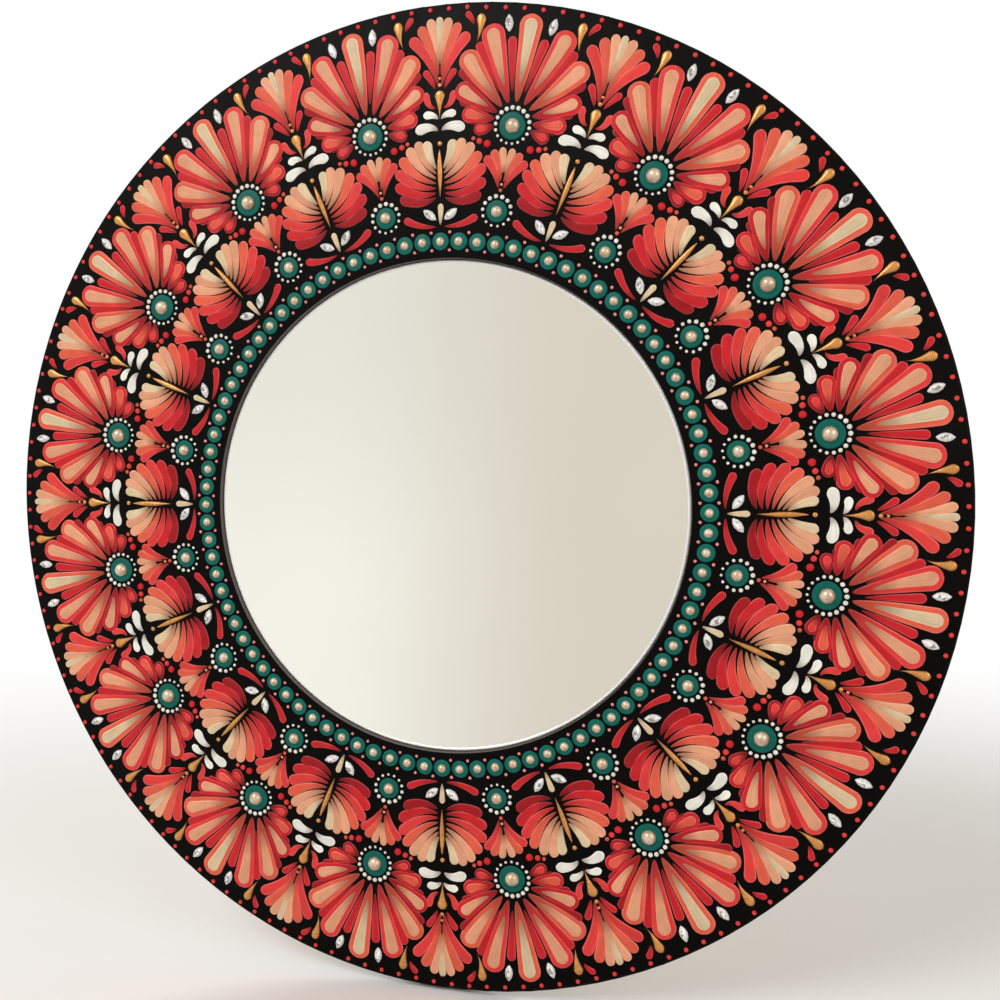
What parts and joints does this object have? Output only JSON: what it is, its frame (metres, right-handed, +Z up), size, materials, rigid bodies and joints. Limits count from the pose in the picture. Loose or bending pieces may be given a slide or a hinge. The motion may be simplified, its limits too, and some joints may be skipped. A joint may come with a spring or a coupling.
{
  "type": "round wall mirror",
  "caption": "Round mirror glass set in a hand-painted black board ring, backed by a smaller disc and hung on the wall from hinged D-ring strap hangers.",
  "frame": {"origin": "centre of the backing disc's rear face, on the wall", "axes": "+X to the right seen from the front, +Y into the wall, +Z up"},
  "size_m": [0.5999, 0.0252, 0.6],
  "materials": {
    "painted_board": "fibreboard under satin black paint",
    "raw_board": "bare fibreboard",
    "mirror": "silvered float glass with ground arris",
    "foam_tape": "white closed-cell foam",
    "zinc_steel": "zinc-plated steel",
    "pearl": "pearl lustre",
    "crystal": "faceted, foil-backed",
    "relief_paint": "thick acrylic paint strokes in reds, corals and creams",
    "gold_paint": "metallic gold paint"
  },
  "bodies": {
    "board": {"face_ring": "painted_board", "backer_disc": "raw_board", "mirror_glass": "mirror", "mirror_pads": "foam_tape", "backer_screws": "zinc_steel", "left_hanger_strap": "zinc_steel", "right_hanger_strap": "zinc_steel", "left_hanger_screws": "zinc_steel", "right_hanger_screws": "zinc_steel", "border_pearls": "pearl", "motif_pearls": "pearl", "inner_crystals": "crystal", "outer_crystals": "crystal"},
    "left_ring": {"left_hanger_ring": "zinc_steel"},
    "right_ring": {"right_hanger_ring": "zinc_steel"}
  },
  "joints": [
    {"name": "left_ring_swing", "type": "hinge", "parent": "board", "child": "left_ring", "pos_m": [-0.175, -0.0099, 0.18502], "axis": [1, 0, 0], "range_deg": [0, 175]},
    {"name": "right_ring_swing", "type": "hinge", "parent": "board", "child": "right_ring", "pos_m": [0.175, -0.0099, 0.18502], "axis": [1, 0, 0], "range_deg": [0, 175]}
  ]
}
